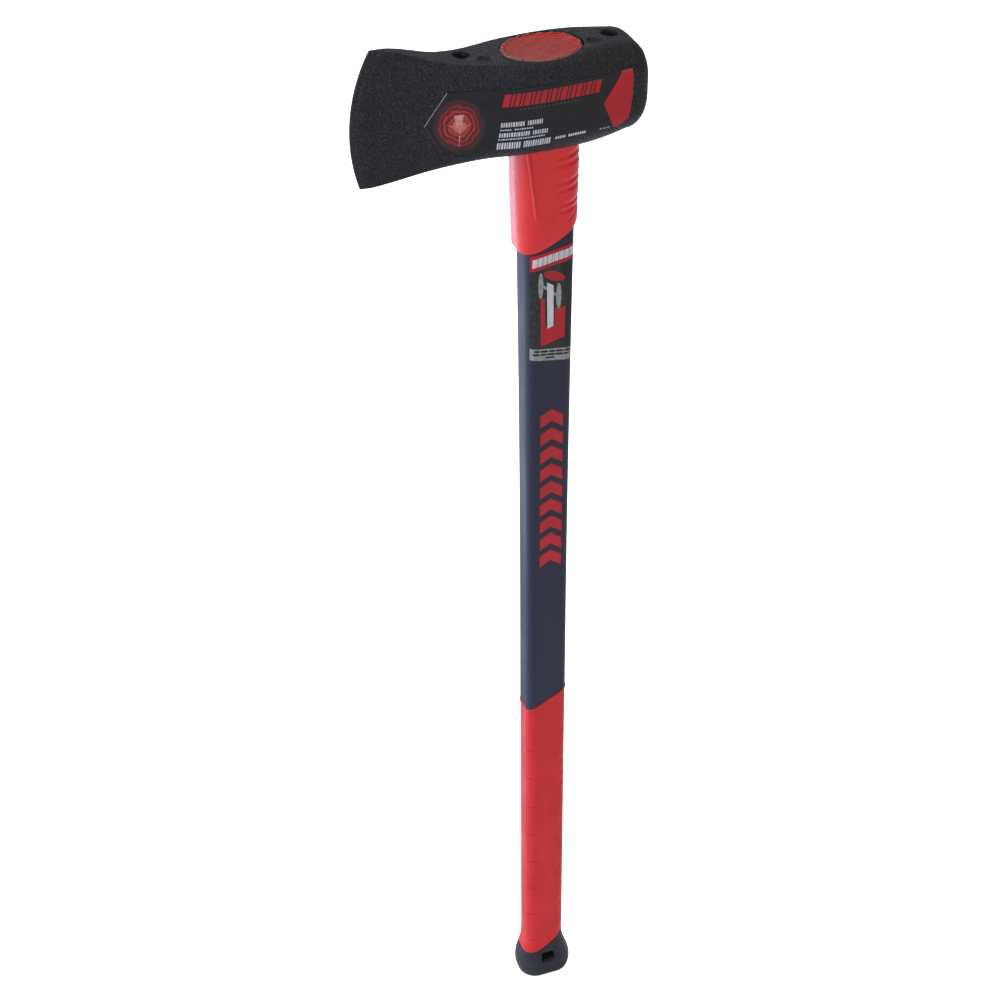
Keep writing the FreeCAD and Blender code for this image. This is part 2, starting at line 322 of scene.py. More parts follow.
def add(tree, kind, settings=(), **links):
    """A node with its settings; links name its inputs and give a number, a colour or a socket."""
    made = tree.nodes.new(kind)
    for name, value in dict(settings).items():
        setattr(made, name, value)
    for name, value in links.items():
        socket = made.inputs[int(name[1:])] if name[0] == "_" else made.inputs[name.replace("_", " ")]
        if isinstance(value, bpy.types.NodeSocket):
            tree.links.new(value, socket)
        else:
            socket.default_value = value
    return made


def on_object(tree):
    """Coordinates in the piece's own space, in metres."""
    return tree.nodes.new("ShaderNodeTexCoord").outputs["Object"]


def maths(tree, operation, first, second=0.0):
    return add(tree, "ShaderNodeMath", {"operation": operation}, _0=first, _1=second).outputs[0]


def blend(tree, mask, first, second):
    """A mix of two colours."""
    made = add(tree, "ShaderNodeMix", {"data_type": "RGBA"}, _0=mask, _6=first, _7=second)
    return made.outputs[2]


def span(tree, value, low, high, to_low=0.0, to_high=1.0):
    """Stretches a value from one range to another, clamped and eased at both ends."""
    made = add(tree, "ShaderNodeMapRange", {"interpolation_type": "SMOOTHSTEP"}, _0=value,
               _1=low, _2=high, _3=to_low, _4=to_high)
    return made.outputs[0]


def group(name, inputs, outputs):
    """An empty node group; returns its tree, input node and output node."""
    tree = bpy.data.node_groups.new(name, "ShaderNodeTree")
    for socket, value in inputs.items():
        made = tree.interface.new_socket(socket, in_out="INPUT", socket_type="NodeSocketFloat")
        made.default_value = value
    for socket in outputs:
        tree.interface.new_socket(socket, in_out="OUTPUT", socket_type="NodeSocketFloat")
    return tree, tree.nodes.new("NodeGroupInput"), tree.nodes.new("NodeGroupOutput")


def use(tree, made, **values):
    node = tree.nodes.new("ShaderNodeGroup")
    node.node_tree = made
    for name, value in values.items():
        node.inputs[name.replace("_", " ")].default_value = value
    return node


# %% Shared effects
def grain_group():
    """Fine pebbled grain: small lumps with finer ones on top. Scale is lumps in a metre."""
    tree, given, out = group("pebbled_grain", {"Scale": 900.0, "Fineness": 2.7, "Pits": 0.3},
                             ("Height", "Speckle"))
    place = on_object(tree)
    lumps = add(tree, "ShaderNodeTexNoise", Vector=place, Scale=given.outputs["Scale"], Detail=2.0)
    finer = maths(tree, "MULTIPLY", given.outputs["Scale"], given.outputs["Fineness"])
    grit = add(tree, "ShaderNodeTexNoise", Vector=place, Scale=finer, Detail=1.0)
    cells = add(tree, "ShaderNodeTexVoronoi", Vector=place, Scale=given.outputs["Scale"])
    pits = maths(tree, "MULTIPLY", span(tree, cells.outputs["Distance"], 0.05, 0.35, 1.0, 0.0),
                 given.outputs["Pits"])
    height = maths(tree, "ADD", lumps.outputs[0], maths(tree, "MULTIPLY", grit.outputs[0], 0.5))
    tree.links.new(maths(tree, "SUBTRACT", height, pits), out.inputs["Height"])
    tree.links.new(span(tree, grit.outputs[0], 0.58, 0.72), out.inputs["Speckle"])
    return tree


def patch_group():
    """Soft patches, from 0 to 1. Scale is patches in a metre, Stretch squeezes them along Z."""
    tree, given, out = group("soft_patches", {"Scale": 40.0, "Stretch": 1.0}, ("Mask",))
    place = on_object(tree)
    split = add(tree, "ShaderNodeSeparateXYZ", Vector=place)
    long = maths(tree, "DIVIDE", split.outputs[2], given.outputs["Stretch"])
    joined = add(tree, "ShaderNodeCombineXYZ", X=split.outputs[0], Y=split.outputs[1], Z=long)
    cloud = add(tree, "ShaderNodeTexNoise", Vector=joined.outputs[0], Scale=given.outputs["Scale"],
                Detail=3.0, Roughness=0.6)
    tree.links.new(span(tree, cloud.outputs[0], 0.35, 0.65), out.inputs["Mask"])
    return tree


def dust_group():
    """Dust on faces that look up, broken by noise."""
    tree, given, out = group("settled_dust", {"Amount": 0.3, "Scale": 300.0}, ("Mask",))
    place = on_object(tree)
    facing = tree.nodes.new("ShaderNodeNewGeometry").outputs["Normal"]
    upward = add(tree, "ShaderNodeSeparateXYZ", Vector=facing).outputs[2]
    flakes = add(tree, "ShaderNodeTexNoise", Vector=place, Scale=given.outputs["Scale"], Detail=4.0)
    mask = maths(tree, "MULTIPLY", span(tree, upward, 0.3, 0.95),
                 span(tree, flakes.outputs[0], 0.35, 0.75))
    tree.links.new(maths(tree, "MULTIPLY", mask, given.outputs["Amount"]), out.inputs["Mask"])
    return tree


def wear_group():
    """Wear on convex edges: where a rounded normal leaves the true one."""
    tree, given, out = group("edge_wear", {"Radius": 0.0012, "Amount": 1.0, "Scale": 500.0},
                             ("Mask",))
    place = on_object(tree)
    true = tree.nodes.new("ShaderNodeNewGeometry").outputs["Normal"]
    round_ = add(tree, "ShaderNodeBevel", {"samples": 4}, Radius=given.outputs["Radius"])
    match = add(tree, "ShaderNodeVectorMath", {"operation": "DOT_PRODUCT"}, _0=true,
                _1=round_.outputs[0])
    scuff = add(tree, "ShaderNodeTexNoise", Vector=place, Scale=given.outputs["Scale"], Detail=4.0)
    edge = span(tree, match.outputs["Value"], 0.86, 0.99, 1.0, 0.0)
    mask = maths(tree, "MULTIPLY", edge, span(tree, scuff.outputs[0], 0.3, 0.7))
    tree.links.new(maths(tree, "MULTIPLY", mask, given.outputs["Amount"]), out.inputs["Mask"])
    return tree


GRAIN, PATCHES, DUST, WEAR = grain_group(), patch_group(), dust_group(), wear_group()
print("shared effects:", [made.name for made in (GRAIN, PATCHES, DUST, WEAR)])

# %% [markdown]
# Painted, moulded and printed surfaces differ in a few numbers: two shades, grain, gloss and dust.
# One function builds such a finish, for the head's coat, the resin and the glass fibre too. The
# anchor's steel is the same finish made metallic.

# %% Moulded and printed finishes
DUST_COLOUR = (176, 172, 166)


def finish(name, main, second, roughness, grain=(900.0, 0.00006, 0.3), patches=(40.0, 1.0),
           spread=0.06, coat=0.0, gloss=0.5, dust=0.1, speckle=0.0, wear=0.0, worn=(200, 200, 200)):
    """A dielectric finish with two shades in patches, a grained surface, dust and worn edges."""
    made = bpy.data.materials.new(name)
    made.use_nodes = True
    tree = made.node_tree
    surface = tree.nodes["Principled BSDF"]
    fine = use(tree, GRAIN, Scale=grain[0], Pits=grain[2])
    patch = use(tree, PATCHES, Scale=patches[0], Stretch=patches[1])
    colour = blend(tree, patch.outputs["Mask"], shade(*main), shade(*second))
    if speckle:
        dots = maths(tree, "MULTIPLY", fine.outputs["Speckle"], speckle)
        colour = blend(tree, dots, colour, shade(*worn))
    if wear:
        rubbed = use(tree, WEAR, Amount=wear)
        colour = blend(tree, rubbed.outputs["Mask"], colour, shade(*worn))
    dusty = use(tree, DUST, Amount=dust)
    colour = blend(tree, dusty.outputs["Mask"], colour, shade(*DUST_COLOUR))
    tree.links.new(colour, surface.inputs["Base Color"])
    rough = span(tree, patch.outputs["Mask"], 0.0, 1.0, roughness - spread, roughness + spread)
    tree.links.new(maths(tree, "ADD", rough, maths(tree, "MULTIPLY", dusty.outputs["Mask"], 0.4)),
                   surface.inputs["Roughness"])
    bump = add(tree, "ShaderNodeBump", Distance=grain[1], Strength=1.0,
               Height=fine.outputs["Height"])
    tree.links.new(bump.outputs[0], surface.inputs["Normal"])
    surface.inputs["Specular IOR Level"].default_value = gloss
    surface.inputs["Coat Weight"].default_value = coat
    surface.inputs["Coat Roughness"].default_value = 0.12
    return made


HEAD_COAT = finish("head_coat", (20, 21, 23), (31, 32, 35), 0.45, grain=(430.0, 0.0016, 0.7),
                   patches=(420.0, 1.0), gloss=0.42, dust=0.02, speckle=0.55, wear=0.55,
                   worn=(104, 106, 110))
RED_GLOSS = finish("red_gloss", (252, 20, 14), (244, 18, 12), 0.27, grain=(420.0, 0.000004, 0.0),
                   patches=(70.0, 2.0), spread=0.02, coat=0.6, dust=0.02)
GRIP_RED = finish("grip_red", (242, 30, 22), (228, 28, 20), 0.44, grain=(1500.0, 0.00012, 0.4),
                  patches=(50.0, 3.0), dust=0.02)
JACKET_BLUE = finish("jacket_blue_grey", (33, 36, 59), (38, 41, 64), 0.47,
                     grain=(1300.0, 0.00008, 0.3), patches=(30.0, 6.0), dust=0.04)
CAP_RUBBER = finish("cap_rubber", (31, 34, 43), (37, 40, 48), 0.48, grain=(1100.0, 0.00010, 0.3),
                    patches=(60.0, 1.0), dust=0.05)
LABEL_DARK = finish("label_dark", (31, 30, 34), (35, 35, 39), 0.42, grain=(1400.0, 0.00003, 0.0),
                    patches=(90.0, 1.0), gloss=0.4, dust=0.03)
PRINT_GRAIN = (1800.0, 0.00003, 0.0)
INK_RED, INK_DIM, INK_BLACK, MOTIF_RED, MOTIF_DEEP, INK_WHITE = (
    finish(name, main, second, roughness, grain=PRINT_GRAIN)
    for name, main, second, roughness in (
        ("ink_red", (206, 24, 34), (192, 22, 34), 0.42),
        ("ink_dim", (110, 78, 76), (84, 62, 62), 0.5),
        ("ink_black", (20, 20, 21), (27, 27, 28), 0.5),
        ("motif_red", (214, 30, 42), (200, 28, 42), 0.4),
        ("motif_deep", (112, 30, 40), (96, 28, 38), 0.4),
        ("ink_white", (236, 236, 238), (216, 218, 222), 0.42)))
INK_PINK = finish("ink_pink", (240, 170, 160), (226, 120, 108), 0.42, grain=PRINT_GRAIN,
                  patches=(300.0, 1.0))
INK_GREY = finish("ink_grey", (176, 178, 174), (150, 156, 150), 0.42, grain=PRINT_GRAIN,
                  patches=(300.0, 1.0))
INK_OLIVE = finish("ink_olive", (52, 54, 44), (30, 36, 32), 0.5, grain=(700.0, 0.00003, 0.0),
                   patches=(300.0, 1.0))
EPOXY = finish("epoxy", (172, 120, 84), (120, 48, 42), 0.38, grain=(900.0, 0.00020, 0.3),
               patches=(520.0, 1.0), dust=0.1)
RED_RESIN = finish("red_resin", (194, 62, 56), (184, 56, 50), 0.48, grain=(700.0, 0.00025, 0.3),
                   patches=(160.0, 1.0), dust=0.15, speckle=0.35, worn=(210, 120, 110))
ANCHOR_STEEL = finish("anchor_steel", (168, 170, 172), (138, 140, 144), 0.36,
                      grain=(900.0, 0.00008, 0.0), patches=(50.0, 8.0))
ANCHOR_STEEL.node_tree.nodes["Principled BSDF"].inputs["Metallic"].default_value = 1.0
FIBREGLASS = finish("fibreglass", (206, 196, 150), (176, 162, 110), 0.34,
                    grain=(500.0, 0.00006, 0.0), patches=(420.0, 40.0))

for node, metal in (("fibreglass_core", FIBREGLASS), ("anchor_pin", ANCHOR_STEEL),
                    ("anchor_plate_bit", ANCHOR_STEEL), ("anchor_plate_poll", ANCHOR_STEEL)):
    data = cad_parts[node].data
    data.materials.clear()
    data.materials.append(metal)


def hand_in(piece, material, slot, *nodes):
    """Gives a finished piece its material and its body, and hides the nodes that it stands for."""
    piece.data.materials.clear()
    piece.data.materials.append(material)
    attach(piece, "root")
    if nodes:
        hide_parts(*nodes)


# %% [markdown]
# The head is one forging: a thin flared bit, hollow cheeks, a swollen body round the eye and a
# rounded poll. It could be sculpted from a block, but a forging has clean sections across its
# length, so rings are set across X from the edge to the poll, closer together where the outline
# turns, and bridged.

# %% Head sections
# x, half thickness, height of the top above HEAD_TOP, of the underside above HEAD_LOW, top and low
# corner radius
HEAD_SECTIONS = [
    (-150.0, 2.4, 17.6, -14.2, 1.2, 1.2),
    (-123.0, 3.4, 16.2, -12.6, 1.5, 1.5),
    (-107.0, 5.2, 14.0, -9.8, 2.0, 2.0),
    (-93.0, 7.9, 9.6, -6.6, 2.0, 2.8),
    (-80.0, 10.9, 5.2, -4.0, 2.5, 4.0),
    (-68.0, 14.2, 2.7, -2.2, 3.0, 6.0),
    (-56.0, 17.6, 1.4, -0.7, 3.5, 8.0),
    (-43.0, 21.9, 0.8, 0.2, 4.0, 11.0),
    (-30.0, 26.2, 0.4, 0.2, 4.5, 14.0),
    (-15.0, 28.9, 0.4, 0.0, 5.5, 17.0),
    (0.0, 30.2, 0.8, 0.0, 7.0, 19.0),
    (15.0, 30.8, 1.4, 0.3, 10.0, 20.0),
    (28.0, 31.0, 1.9, 1.6, 14.0, 20.5),
    (40.0, 31.0, 1.7, 3.6, 18.0, 21.0),
    (51.0, 30.6, 0.7, 6.2, 19.0, 21.5),
]
EDGE_X = -139.3        # foremost point of the cutting edge
EDGE_RADIUS = 125.5    # the edge is an arc, seen from the side
EDGE_CENTRE = (EDGE_X + EDGE_RADIUS, HEAD_TOP - 45.7)
EDGE_FADE = 46.0       # over this length the rings straighten behind the edge
LAND, BEVEL_SLOPE = 0.8, 0.36   # half width of the edge's land, and the slope of the ground bevel
POLL_FROM, POLL_ROUND, POLL_INSET, POLL_UNDERCUT, POLL_TIGHTEN = 51.0, 16.0, 14.0, 17.5, 0.6


def head_row(x, turn=0.0):
    """Section of the head at x; turn is the angle round the poll's end."""
    row = row_at(HEAD_SECTIONS, x)
    inset = POLL_INSET * (1 - math.cos(turn))
    under = POLL_UNDERCUT * (1 - math.cos(turn))
    return (row[1] - inset, HEAD_TOP + row[2] - inset, HEAD_LOW + row[3] + under,
            row[4] - POLL_TIGHTEN * inset, row[5] - POLL_TIGHTEN * inset)


head_stations = [(EDGE_X + gap, 0.0) for gap in (0, 0.9, 2.0, 3.5, 5.2, 7.5, 11, 15, 20, 25, 30)]
head_stations += [(x, 0.0) for x in steps(-105.0, POLL_FROM, 46)]
for turn in steps(0, math.pi / 2, 10)[1:]:
    head_stations.append((POLL_FROM + POLL_ROUND * math.sin(turn), turn))
print("head:", len(head_stations), "rings")

# %% Head: rings and bridges
head = start_piece("head_forging")
for number, (x, turn) in enumerate(head_stations, 1):
    half, top, low, top_radius, low_radius = head_row(min(x, POLL_FROM), turn)
    rounded_ring(head, number, (x, 0, (top + low) / 2), (2 * half, top - low),
                 (low_radius, top_radius), axis="X", corner=7, cuts=(5, 14))
bridge_rings(head, len(head_stations))
close_ring(head, 1)
bpy.ops.mesh.quads_convert_to_tris(ngon_method="BEAUTY")
close_ring(head, len(head_stations))
end_piece(head)

# %% [markdown]
# The rings at the bit are still straight. On the real head the smith grinds the edge to an arc with a
# narrow bevel on each cheek. Each vertex there slides to the arc, less and less over the rings behind
# it, and takes the thickness that the cheek or the bevel has at its new place.

# %% Head: the curved edge
def edge_arc(height):
    rise = height - EDGE_CENTRE[1]
    return EDGE_CENTRE[0] - math.sqrt(EDGE_RADIUS**2 - rise**2)


def bend_bit(piece):
    for vert in piece.data.vertices:
        x0, height = vert.co.x / MM, vert.co.z / MM
        weight = ease((EDGE_X + EDGE_FADE - x0) / EDGE_FADE)
        if weight == 0:
            continue
        half0, top0, low0, _, _ = head_row(x0)
        share = (height - low0) / (top0 - low0)
        x = x0
        for _ in range(4):
            x = x0 + weight * (edge_arc(height) - EDGE_X)
            half, top, low, _, _ = head_row(x)
            height = low + share * (top - low)
        depth = EDGE_RADIUS - math.hypot(x - EDGE_CENTRE[0], height - EDGE_CENTRE[1])
        half = min(half, LAND + BEVEL_SLOPE * max(0.0, depth))
        vert.co = (x * MM, vert.co.y * half / half0, height * MM)


bend_bit(head)
print("bit reaches", round(min(v.co.x for v in head.data.vertices) / MM, 1), "mm")

# %% [markdown]
# The eye is a tapered oval hole right through the head, wider at the top. Two round pits and two
# shallow stamped rounds are left in the top face. Each is a cutter with a flared mouth, so its rim
# comes out rounded.

# %% Head: eye, pits and marks
EYE_TOP_X, EYE_LOW_X = -3.2, -1.0
EYE_TOP, EYE_LOW = (29.2, 24.0), (21.5, 15.5)
OVAL = 96                   # corners of every oval round the eye
PITS_AT, MARKS_AT = (-58.5, 47.5), (-45.5, 32.5)
PIT, MARK = (4.0, 6.0, 9.0, 0.7), (-6.0, 5.0, 1.0, 0.6)   # y, radius, depth and lip


def eye_oval(height, top, low):
    """Centre and half sizes of a tapered oval at a height, from those at the top and the bottom."""
    t = (height - HEAD_LOW) / (HEAD_TOP - HEAD_LOW)
    return ((EYE_LOW_X + t * (EYE_TOP_X - EYE_LOW_X), 0, height),
            (low[0] + t * (top[0] - low[0]), low[1] + t * (top[1] - low[1])))


def eye_cutter():
    cutter = start_piece("eye_cutter")
    for number, height in enumerate((HEAD_LOW - 12, HEAD_TOP + 12), 1):
        centre, half = eye_oval(height, EYE_TOP, EYE_LOW)
        oval_ring(cutter, number, centre, half, OVAL)
    return close_stack(cutter, 2)


def pit_cutter(x, y, radius, depth, lip):
    """A round bottomed cutter whose mouth flares by the lip."""
    surface = HEAD_TOP + row_at(HEAD_SECTIONS, x)[2]
    levels = ((-depth, radius - lip), (-depth + 0.3 * lip, radius - 0.3 * lip),
              (-0.8 * lip, radius), (-0.3 * lip, radius + 0.3 * lip), (0.0, radius + lip),
              (3.0, radius + 3 * lip))
    cutter = start_piece("pit_cutter")
    for number, (rise, r) in enumerate(levels, 1):
        oval_ring(cutter, number, (x, y, surface + rise), (r, r), 40)
    return close_stack(cutter, len(levels))


cut(head, eye_cutter())
for x in PITS_AT:
    cut(head, pit_cutter(x, *PIT))
for x in MARKS_AT:
    cut(head, pit_cutter(x, *MARK))
smooth(head)
hand_in(head, HEAD_COAT, "head_coat", "maul_head")
print("head faces:", len(head.data.polygons))

# %% [markdown]
# The handle's outer shapes share a few blanks that are taken out of one another: the rod through
# everything, and the jacket under the collar.

# %% Blanks
CORE = (24.0, 16.0, 5.0)
CORE_FROM, CORE_TO = 38.0, HEAD_TOP - 13.0


def prism(name, levels, corner=6, cuts=(3, 3)):
    """A closed stack of rounded rectangles: height, width, depth, radius and shift along X."""
    piece = start_piece(name)
    for number, (height, width, depth, radius, shift) in enumerate(levels, 1):
        rounded_ring(piece, number, (shift, 0, height), (width, depth), (radius, radius),
                     corner=corner, cuts=cuts)
    return close_stack(piece, len(levels))


def core_blank():
    return prism("core_blank", [(CORE_FROM, *CORE, 0.0), (CORE_TO, *CORE, 0.0)])


# %% [markdown]
# The jacket is a moulded skin round the rod, nearly straight, that swells a little towards the head.
# Both ends run under a neighbour or meet it on a slanted border.

# %% Shaft jacket
SHAFT_SECTIONS = [
    (300.0, 34.0, 25.0, 6.5),
    (480.0, 34.0, 25.0, 6.5),
    (600.0, 35.0, 25.8, 6.8),
    (700.0, 36.6, 26.9, 7.2),
    (775.0, 38.0, 27.8, 7.5),
]
GRIP_EDGE = (317.0, 329.5, 341.0)
COLLAR_EDGE = (749.0, 755.5, 772.0)
CAP_EDGE = (29.0, 36.0, 54.0)


def shaft_size(height):
    _, width, depth, _ = row_at(SHAFT_SECTIONS, height)
    return width, depth, 0.0


shaft_levels = [(*row_at(SHAFT_SECTIONS, z), 0.0) for z in steps(GRIP_EDGE[1], 775.0, 60)]
jacket = prism("handle_jacket", shaft_levels, corner=8, cuts=(7, 5))
tilt_border(jacket, GRIP_EDGE, 34.0, shaft_size)
cut(jacket, core_blank())
smooth(jacket)
hand_in(jacket, JACKET_BLUE, "jacket_blue_grey", "shaft_jacket")

# %% [markdown]
# The grip and the end knob are two mouldings in one flowing outline, split by a slanted border. They
# share one table of sections, so the outline runs on across the border.

# %% Grip and knob outline
HANDLE_END = [
    (0.0, 44.4, 33.0, 14.5, 0.8),
    (6.0, 47.8, 37.0, 16.5, 0.75),
    (13.0, 48.8, 38.6, 17.5, 0.7),
    (20.0, 46.6, 36.8, 16.5, 0.6),
    (29.0, 40.8, 31.4, 13.0, 0.45),
    (40.0, 36.0, 27.0, 10.0, 0.25),
    (60.0, 34.3, 25.3, 8.0, 0.0),
    (90.0, 34.3, 25.3, 8.0, 0.0),
    (340.0, 34.3, 25.3, 8.0, 0.0),
]
KNOB_ROUND = 2.5


def end_row(height):
    return row_at(HANDLE_END, height)


def end_size(height):
    row = end_row(height)
    return row[1], row[2], row[4]


# %% [markdown]
# The knob stops the hand from sliding off and carries a slot for a lanyard. Its bottom edge is a
# quarter round, made by three rings drawn in along an arc.

# %% End knob
def knob_levels():
    levels = []
    for turn in steps(0, math.pi / 2, 6)[:-1]:
        inset = KNOB_ROUND * (1 - math.sin(turn))
        _, width, depth, radius, shift = end_row(0.0)
        levels.append((KNOB_ROUND * (1 - math.cos(turn)), width - 2 * inset, depth - 2 * inset,
                       radius - inset, shift))
    levels += [tuple(end_row(height)) for height in steps(KNOB_ROUND, CAP_EDGE[1] - 0.8, 22)]
    _, width, depth, radius, shift = end_row(CAP_EDGE[1])
    levels.append((CAP_EDGE[1], width - 1.2, depth - 1.2, radius - 0.6, shift))
    return levels


SLOT_CENTRE, SLOT_SIZE = (0.3, 24.5), (11.0, 9.0)   # in X and Z


def slot_cutter():
    """A rounded bar along Y, where the lanyard goes through, with flared mouths."""
    cutter = start_piece("slot_cutter")
    for number, (y, grow) in enumerate(((-24, 3.0), (-17.6, 0.9), (-16, 0.2), (-13, 0), (13, 0),
                                        (16, 0.2), (17.6, 0.9), (24, 3.0)), 1):
        rounded_ring(cutter, number, (*SLOT_CENTRE, y), [side + 2 * grow for side in SLOT_SIZE],
                     (2 + grow, 2 + grow), cuts=(2, 2))
    close_stack(cutter, 8)
    for vert in cutter.data.vertices:
        x, z, y = vert.co
        vert.co = (x, y, z)
    cutter.data.flip_normals()
    return cutter


knob = prism("end_knob", knob_levels(), corner=9, cuts=(7, 5))
tilt_border(knob, CAP_EDGE, 26.0, end_size)
cut(knob, core_blank())
cut(knob, slot_cutter())
smooth(knob)
hand_in(knob, CAP_RUBBER, "cap_rubber", "end_cap")

# %% [markdown]
# The grip is a red rubber sleeve. Short thumb grooves lie one above the other round both corners of
# its bit side, and closer, slanted ones cross both corners of its poll side, so that wet gloves don't
# slip. Each groove is a small round profile spun round the corner and cut out.

# %% Grip
GROOVE_FIRST, GROOVE_LAST, GROOVES = 276.0, 45.6, 8
CORNER = (9.15, 4.65)      # centre of the grip's corner arcs
CORNER_R = 8.0


def grip_levels():
    _, width, depth, radius, shift = end_row(CAP_EDGE[1])
    levels = [(CAP_EDGE[1], width - 1.0, depth - 1.0, radius - 0.5, shift)]
    levels += [tuple(end_row(height)) for height in steps(CAP_EDGE[1] + 0.6, 60, 10)]
    levels += [tuple(end_row(height)) for height in steps(66, GRIP_EDGE[1] - 2.6, 44)]
    for rise, grow in ((-2.4, 0.5), (-1.5, 1.1), (-0.8, 1.2), (-0.2, 0.7), (0.0, -0.5)):
        _, width, depth, radius, _ = end_row(GRIP_EDGE[1])
        levels.append((GRIP_EDGE[1] + rise, width + grow, depth + grow, radius, 0.0))
    return levels


def groove_cutter(facing, reach, bead, sweep, rise):
    """One bead spun round a corner of the grip at height 0. Facing is the direction of its middle;
    the path is flatter than the corner, so the groove fades out at both ends."""
    back = 6.0             # the path's centre lies this far behind the corner's
    ahead = Vector((math.cos(facing), math.sin(facing), 0))
    corner = Vector((math.copysign(CORNER[0], ahead.x), math.copysign(CORNER[1], ahead.y), 0))
    centre = (corner - back * ahead) * MM
    start = facing - sweep / 2
    spot = centre + Vector((math.cos(start), math.sin(start), 0)) * (back + CORNER_R + reach) * MM
    cutter = start_piece("groove_cutter")
    bpy.ops.mesh.primitive_circle_add(vertices=12, radius=bead * MM, fill_type="NGON",
                                      location=spot, rotation=(math.pi / 2, 0, start))
    bpy.ops.mesh.spin(steps=12, angle=sweep, center=centre, axis=(0, 0, -1))
    bpy.ops.mesh.select_all(action="SELECT")
    bpy.ops.mesh.remove_doubles(threshold=1e-6)
    end_piece(cutter)
    aside = Vector((-ahead.y, ahead.x, 0))
    for vert in cutter.data.vertices:
        vert.co.z += rise * (vert.co - centre).dot(aside)
    return cutter


def row_of(cutter, heights):
    """Copies of a cutter at several heights."""
    copies = []
    for height in heights:
        copy = cutter.copy()
        copy.data = cutter.data.copy()
        copy.data.transform(Matrix.Translation((0, 0, height * MM)))
        bpy.context.collection.objects.link(copy)
        copies.append(copy)
    bpy.data.objects.remove(cutter)
    return copies


def join(pieces):
    bpy.ops.object.select_all(action="DESELECT")
    for piece in pieces:
        piece.select_set(True)
    bpy.context.view_layer.objects.active = pieces[0]
    bpy.ops.object.join()
    return pieces[0]


thumb_heights = steps(GROOVE_FIRST, GROOVE_LAST, GROOVES)
grooves = []
for facing in (math.radians(237), math.radians(123)):
    grooves += row_of(groove_cutter(facing, 0.25, 1.25, math.radians(64), 0.0), thumb_heights[1:])
    wide = groove_cutter(facing, 0.5, 1.4, math.radians(64), 0.0)
    for vert in wide.data.vertices:
        vert.co.z *= 1.7
    grooves += row_of(wide, thumb_heights[:1])
for facing, rise in ((math.radians(-42), 0.6), (math.radians(42), -0.6)):
    grooves += row_of(groove_cutter(facing, 0.0, 0.9, math.radians(70), rise),
                      steps(292, 62, 20))
print("grip grooves:", len(grooves))

grip = prism("grip_moulding", grip_levels(), corner=8, cuts=(8, 5))
tilt_border(grip, CAP_EDGE, 26.0, end_size)
tilt_border(grip, GRIP_EDGE, 34.0, end_size)
cut(grip, core_blank())
cut(grip, join(grooves))
smooth(grip)
hand_in(grip, GRIP_RED, "grip_red", "grip_sleeve")

# %% [markdown]
# The collar is moulded over the jacket just below the head, where a missed blow lands. Its outside is
# a stack of rings, pressed in along the grooves, with a thin rib joined on. It also runs up through
# the eye as a thin sleeve, whose rim shows at the top round the poured resin.

# %% Collar
COLLAR_SECTIONS = [
    (742.0, 43.4, 33.0, 11.5),
    (756.0, 44.4, 34.0, 12.3),
    (775.0, 45.8, 35.6, 13.5),
    (800.0, 47.2, 37.2, 14.5),
    (HEAD_LOW + 4.0, 47.8, 37.8, 15.0),
]
COLLAR_SHIFT = -1.2
SLEEVE_TOP, SLEEVE_LOW = (27.0, 21.8), (20.7, 14.7)
POCKET_TOP, POCKET_LOW, POCKET_DEPTH = (25.1, 19.8), (19.6, 13.4), 49.0
RIM_PROUD, FILL_SUNK = 0.6, 0.7
FILL_SLOPE = 1.2       # the resin set a little lower at the poll side


def collar_size(height):
    _, width, depth, _ = row_at(COLLAR_SECTIONS, height)
    return width, depth, COLLAR_SHIFT


def collar_outside():
    """The outer shell: a rolled lower border, then the swelling body up to the head."""
    edge = COLLAR_EDGE[1]
    levels = []
    for rise, inset in ((0.0, 1.3), (0.3, 0.6), (0.9, 0.1), (1.8, 0.0)):
        _, width, depth, radius = row_at(COLLAR_SECTIONS, edge + rise)
        levels.append((edge + rise, width - 2 * inset, depth - 2 * inset, radius - inset,
                       COLLAR_SHIFT))
    for height in steps(edge + 3, HEAD_LOW + 2.5, 76):
        levels.append((*row_at(COLLAR_SECTIONS, height), COLLAR_SHIFT))
    return levels


def press_waves(piece):
    """Draws the skin in along pairs of shallow grooves that wrap the poll side and along one groove
    that follows the lower border, and lifts a short ridge on the bit side of that groove."""
    for vert in piece.data.vertices:
        x, y, height = (part / MM for part in vert.co)
        if height < 750 or height > HEAD_LOW:
            continue
        side = ease((x - WAVE_FROM) / 12)
        level = height - WAVE_RISE * x
        depth = sum(math.exp(-((level - wave) / WAVE_HALF) ** 2) for wave in WAVES) * side
        above = height - slanted(COLLAR_EDGE, x)
        for (rise, half, deep), there in ((BORDER_GROOVE, ease((x - 4) / 8)),
                                          (BORDER_RIDGE, ease((x + 16) / 4) * ease((2 - x) / 8))):
            depth += deep * math.exp(-((above - rise) / half) ** 2) * there
        inward = Vector((COLLAR_SHIFT - x, -y, 0)).normalized()
        vert.co += inward * WAVE_DEPTH * depth * MM


def corner_rib():
    """A thin rib down the collar's front corner, half sunk in the skin."""
    levels = steps(RIB_TOP[1], RIB_FOOT[1], 12)
    piece = start_piece("corner_rib")
    for number, height in enumerate(levels, 1):
        _, width, depth, radius = row_at(COLLAR_SECTIONS, height)
        t = (height - RIB_TOP[1]) / (RIB_FOOT[1] - RIB_TOP[1])
        x = RIB_TOP[0] + t * (RIB_FOOT[0] - RIB_TOP[0])
        run = x - (COLLAR_SHIFT - width / 2 + radius)
        y = -(depth / 2 - radius) - math.sqrt(radius**2 - min(0.0, run) ** 2)
        fade = 1.0 if number < len(levels) else 0.4
        oval_ring(piece, number, (x, y - 0.25, height), (RIB_HALF * fade, RIB_HALF * fade), 16)
    return close_stack(piece, len(levels))


